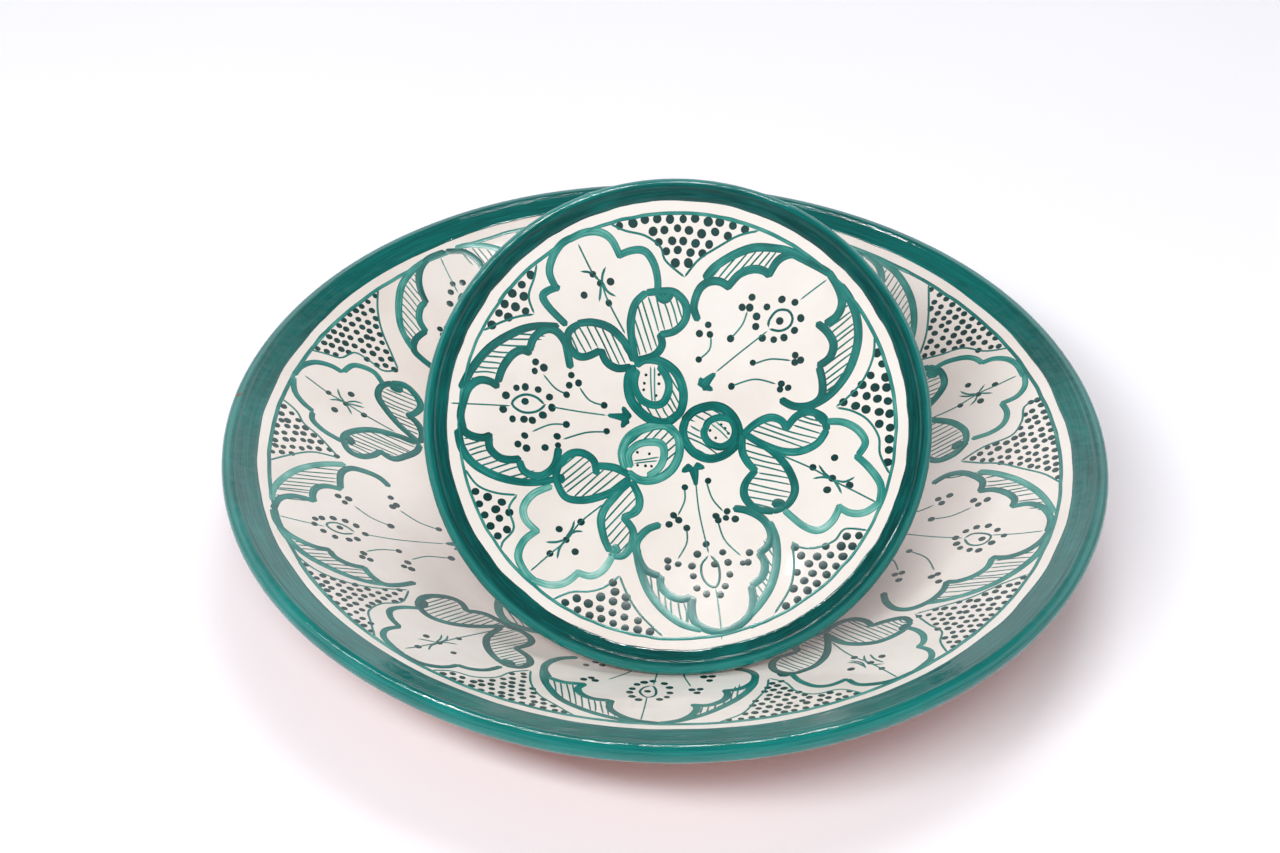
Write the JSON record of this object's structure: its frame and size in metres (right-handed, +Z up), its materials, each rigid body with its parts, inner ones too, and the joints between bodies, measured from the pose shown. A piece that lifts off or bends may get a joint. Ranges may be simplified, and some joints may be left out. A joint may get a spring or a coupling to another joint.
{
  "type": "hand painted ceramic plate set",
  "caption": "Hand painted glazed ceramic serving plate, with a matching side plate displayed tipped up in it against a clay prop; for serving and for display.",
  "frame": {"origin": "centre of the large plate's foot, on the surface it stands on", "axes": "+Z up, +X to the right, and the small plate faces -Y"},
  "size_m": [0.3499, 0.35, 0.155],
  "materials": {
    "red_clay": "matt fired clay with throwing rings",
    "white_glaze": "glossy warm white glaze",
    "brush_green": "brushed copper green under gloss",
    "rim_green": "glossy streaked teal green glaze",
    "prop_clay": "matt unglazed clay"
  },
  "bodies": {
    "large_plate": {"large_plate_clay": "red_clay", "large_plate_white_glaze": "white_glaze", "large_plate_ring_line": "brush_green", "large_plate_rim_glaze": "rim_green"},
    "prop": {"display_prop": "prop_clay"},
    "small_plate": {"small_plate_clay": "red_clay", "small_plate_white_glaze": "white_glaze", "small_plate_ring_line": "brush_green", "small_plate_rim_glaze": "rim_green"}
  },
  "joints": [
    {"name": "prop_lift", "type": "slide", "parent": "large_plate", "child": "prop", "axis": [0, 0, 1], "range_m": [0, 0.1]},
    {"name": "small_plate_lift", "type": "slide", "parent": "prop", "child": "small_plate", "axis": [0, 0, 1], "range_m": [0, 0.15]}
  ]
}
